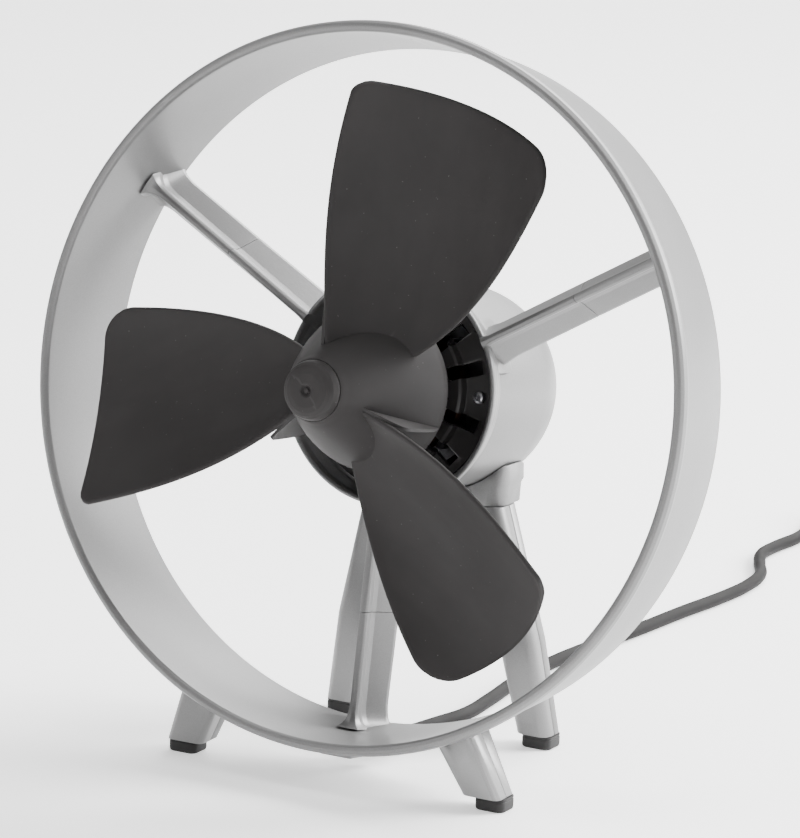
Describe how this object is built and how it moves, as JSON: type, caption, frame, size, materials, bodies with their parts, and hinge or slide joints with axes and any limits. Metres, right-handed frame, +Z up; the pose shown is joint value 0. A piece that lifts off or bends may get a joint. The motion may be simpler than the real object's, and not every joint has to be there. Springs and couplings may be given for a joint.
{
  "type": "desk fan",
  "caption": "Desk fan: soft rubber blades on a bullet spinner inside a wide open ring guard with slim spokes, domed motor housing, splayed legs, rear speed knob and mains lead",
  "frame": {"origin": "on the table under the middle of the fan, the centre of its bounding box without the cord", "axes": "+Z up, -Y the front that the air leaves from, +X to the right seen from the front"},
  "size_m": [0.32, 0.6586, 0.3337],
  "materials": {
    "silver": "satin silver-grey paint on plastic",
    "soft_rubber": "soft matt rubber",
    "dark_plastic": "fine matt moulding",
    "foot_rubber": "matt rubber",
    "steel": "zinc plated",
    "lamination": "stacked steel sheet",
    "copper": "enamelled copper wire, lacquered",
    "bronze": "turned bronze or brass",
    "cord_rubber": "smooth matt sheath"
  },
  "bodies": {
    "frame": {"guard_ring": "silver", "motor_collar": "silver", "motor_housing": "silver", "lower_spoke_cover": "silver", "leg_yoke": "silver", "cable_gland": "silver", "front_leg_left_front_shell": "silver", "front_leg_left_rear_shell": "silver", "front_leg_right_front_shell": "silver", "front_leg_right_rear_shell": "silver", "rear_leg_left_front_shell": "silver", "rear_leg_left_rear_shell": "silver", "rear_leg_right_front_shell": "silver", "rear_leg_right_rear_shell": "silver", "motor_cup": "dark_plastic", "speed_switch": "dark_plastic", "run_capacitor": "dark_plastic", "front_foot_left": "foot_rubber", "front_foot_right": "foot_rubber", "rear_foot_left": "foot_rubber", "rear_foot_right": "foot_rubber", "motor_rear_bracket": "steel", "motor_bolt_1": "steel", "motor_bolt_2": "steel", "motor_bolt_3": "steel", "motor_bolt_4": "steel", "cup_screw_1": "steel", "cup_screw_2": "steel", "cup_screw_3": "steel", "stator_core": "lamination", "stator_winding_front": "copper", "stator_winding_rear": "copper", "front_bush": "bronze", "rear_bush": "bronze", "plug_pin_left": "bronze", "plug_pin_right": "bronze", "cord_run": "cord_rubber", "cord_tail": "cord_rubber", "cord_coil": "cord_rubber", "plug_body": "cord_rubber", "strain_relief": "cord_rubber", "inner_lead": "cord_rubber"},
    "propeller": {"spinner": "soft_rubber", "nose_cap": "soft_rubber", "blade_1": "soft_rubber", "blade_2": "soft_rubber", "blade_3": "soft_rubber", "hub_bush": "bronze", "hub_nut": "steel", "motor_shaft": "steel", "rotor_core": "lamination", "thrust_washer_front": "steel", "thrust_washer_rear": "steel"},
    "speed_knob": {"speed_knob": "dark_plastic", "switch_shaft": "steel"}
  },
  "joints": [
    {"name": "propeller_spin", "type": "hinge", "parent": "frame", "child": "propeller", "pos_m": [0, -0.0625, 0.1763], "axis": [0, 0.9877, -0.1564], "continuous": true},
    {"name": "speed_knob_turn", "type": "hinge", "parent": "frame", "child": "speed_knob", "pos_m": [0, 0.08565, 0.15283], "axis": [0, 0.9877, -0.1564], "range_deg": [0, 90]}
  ]
}
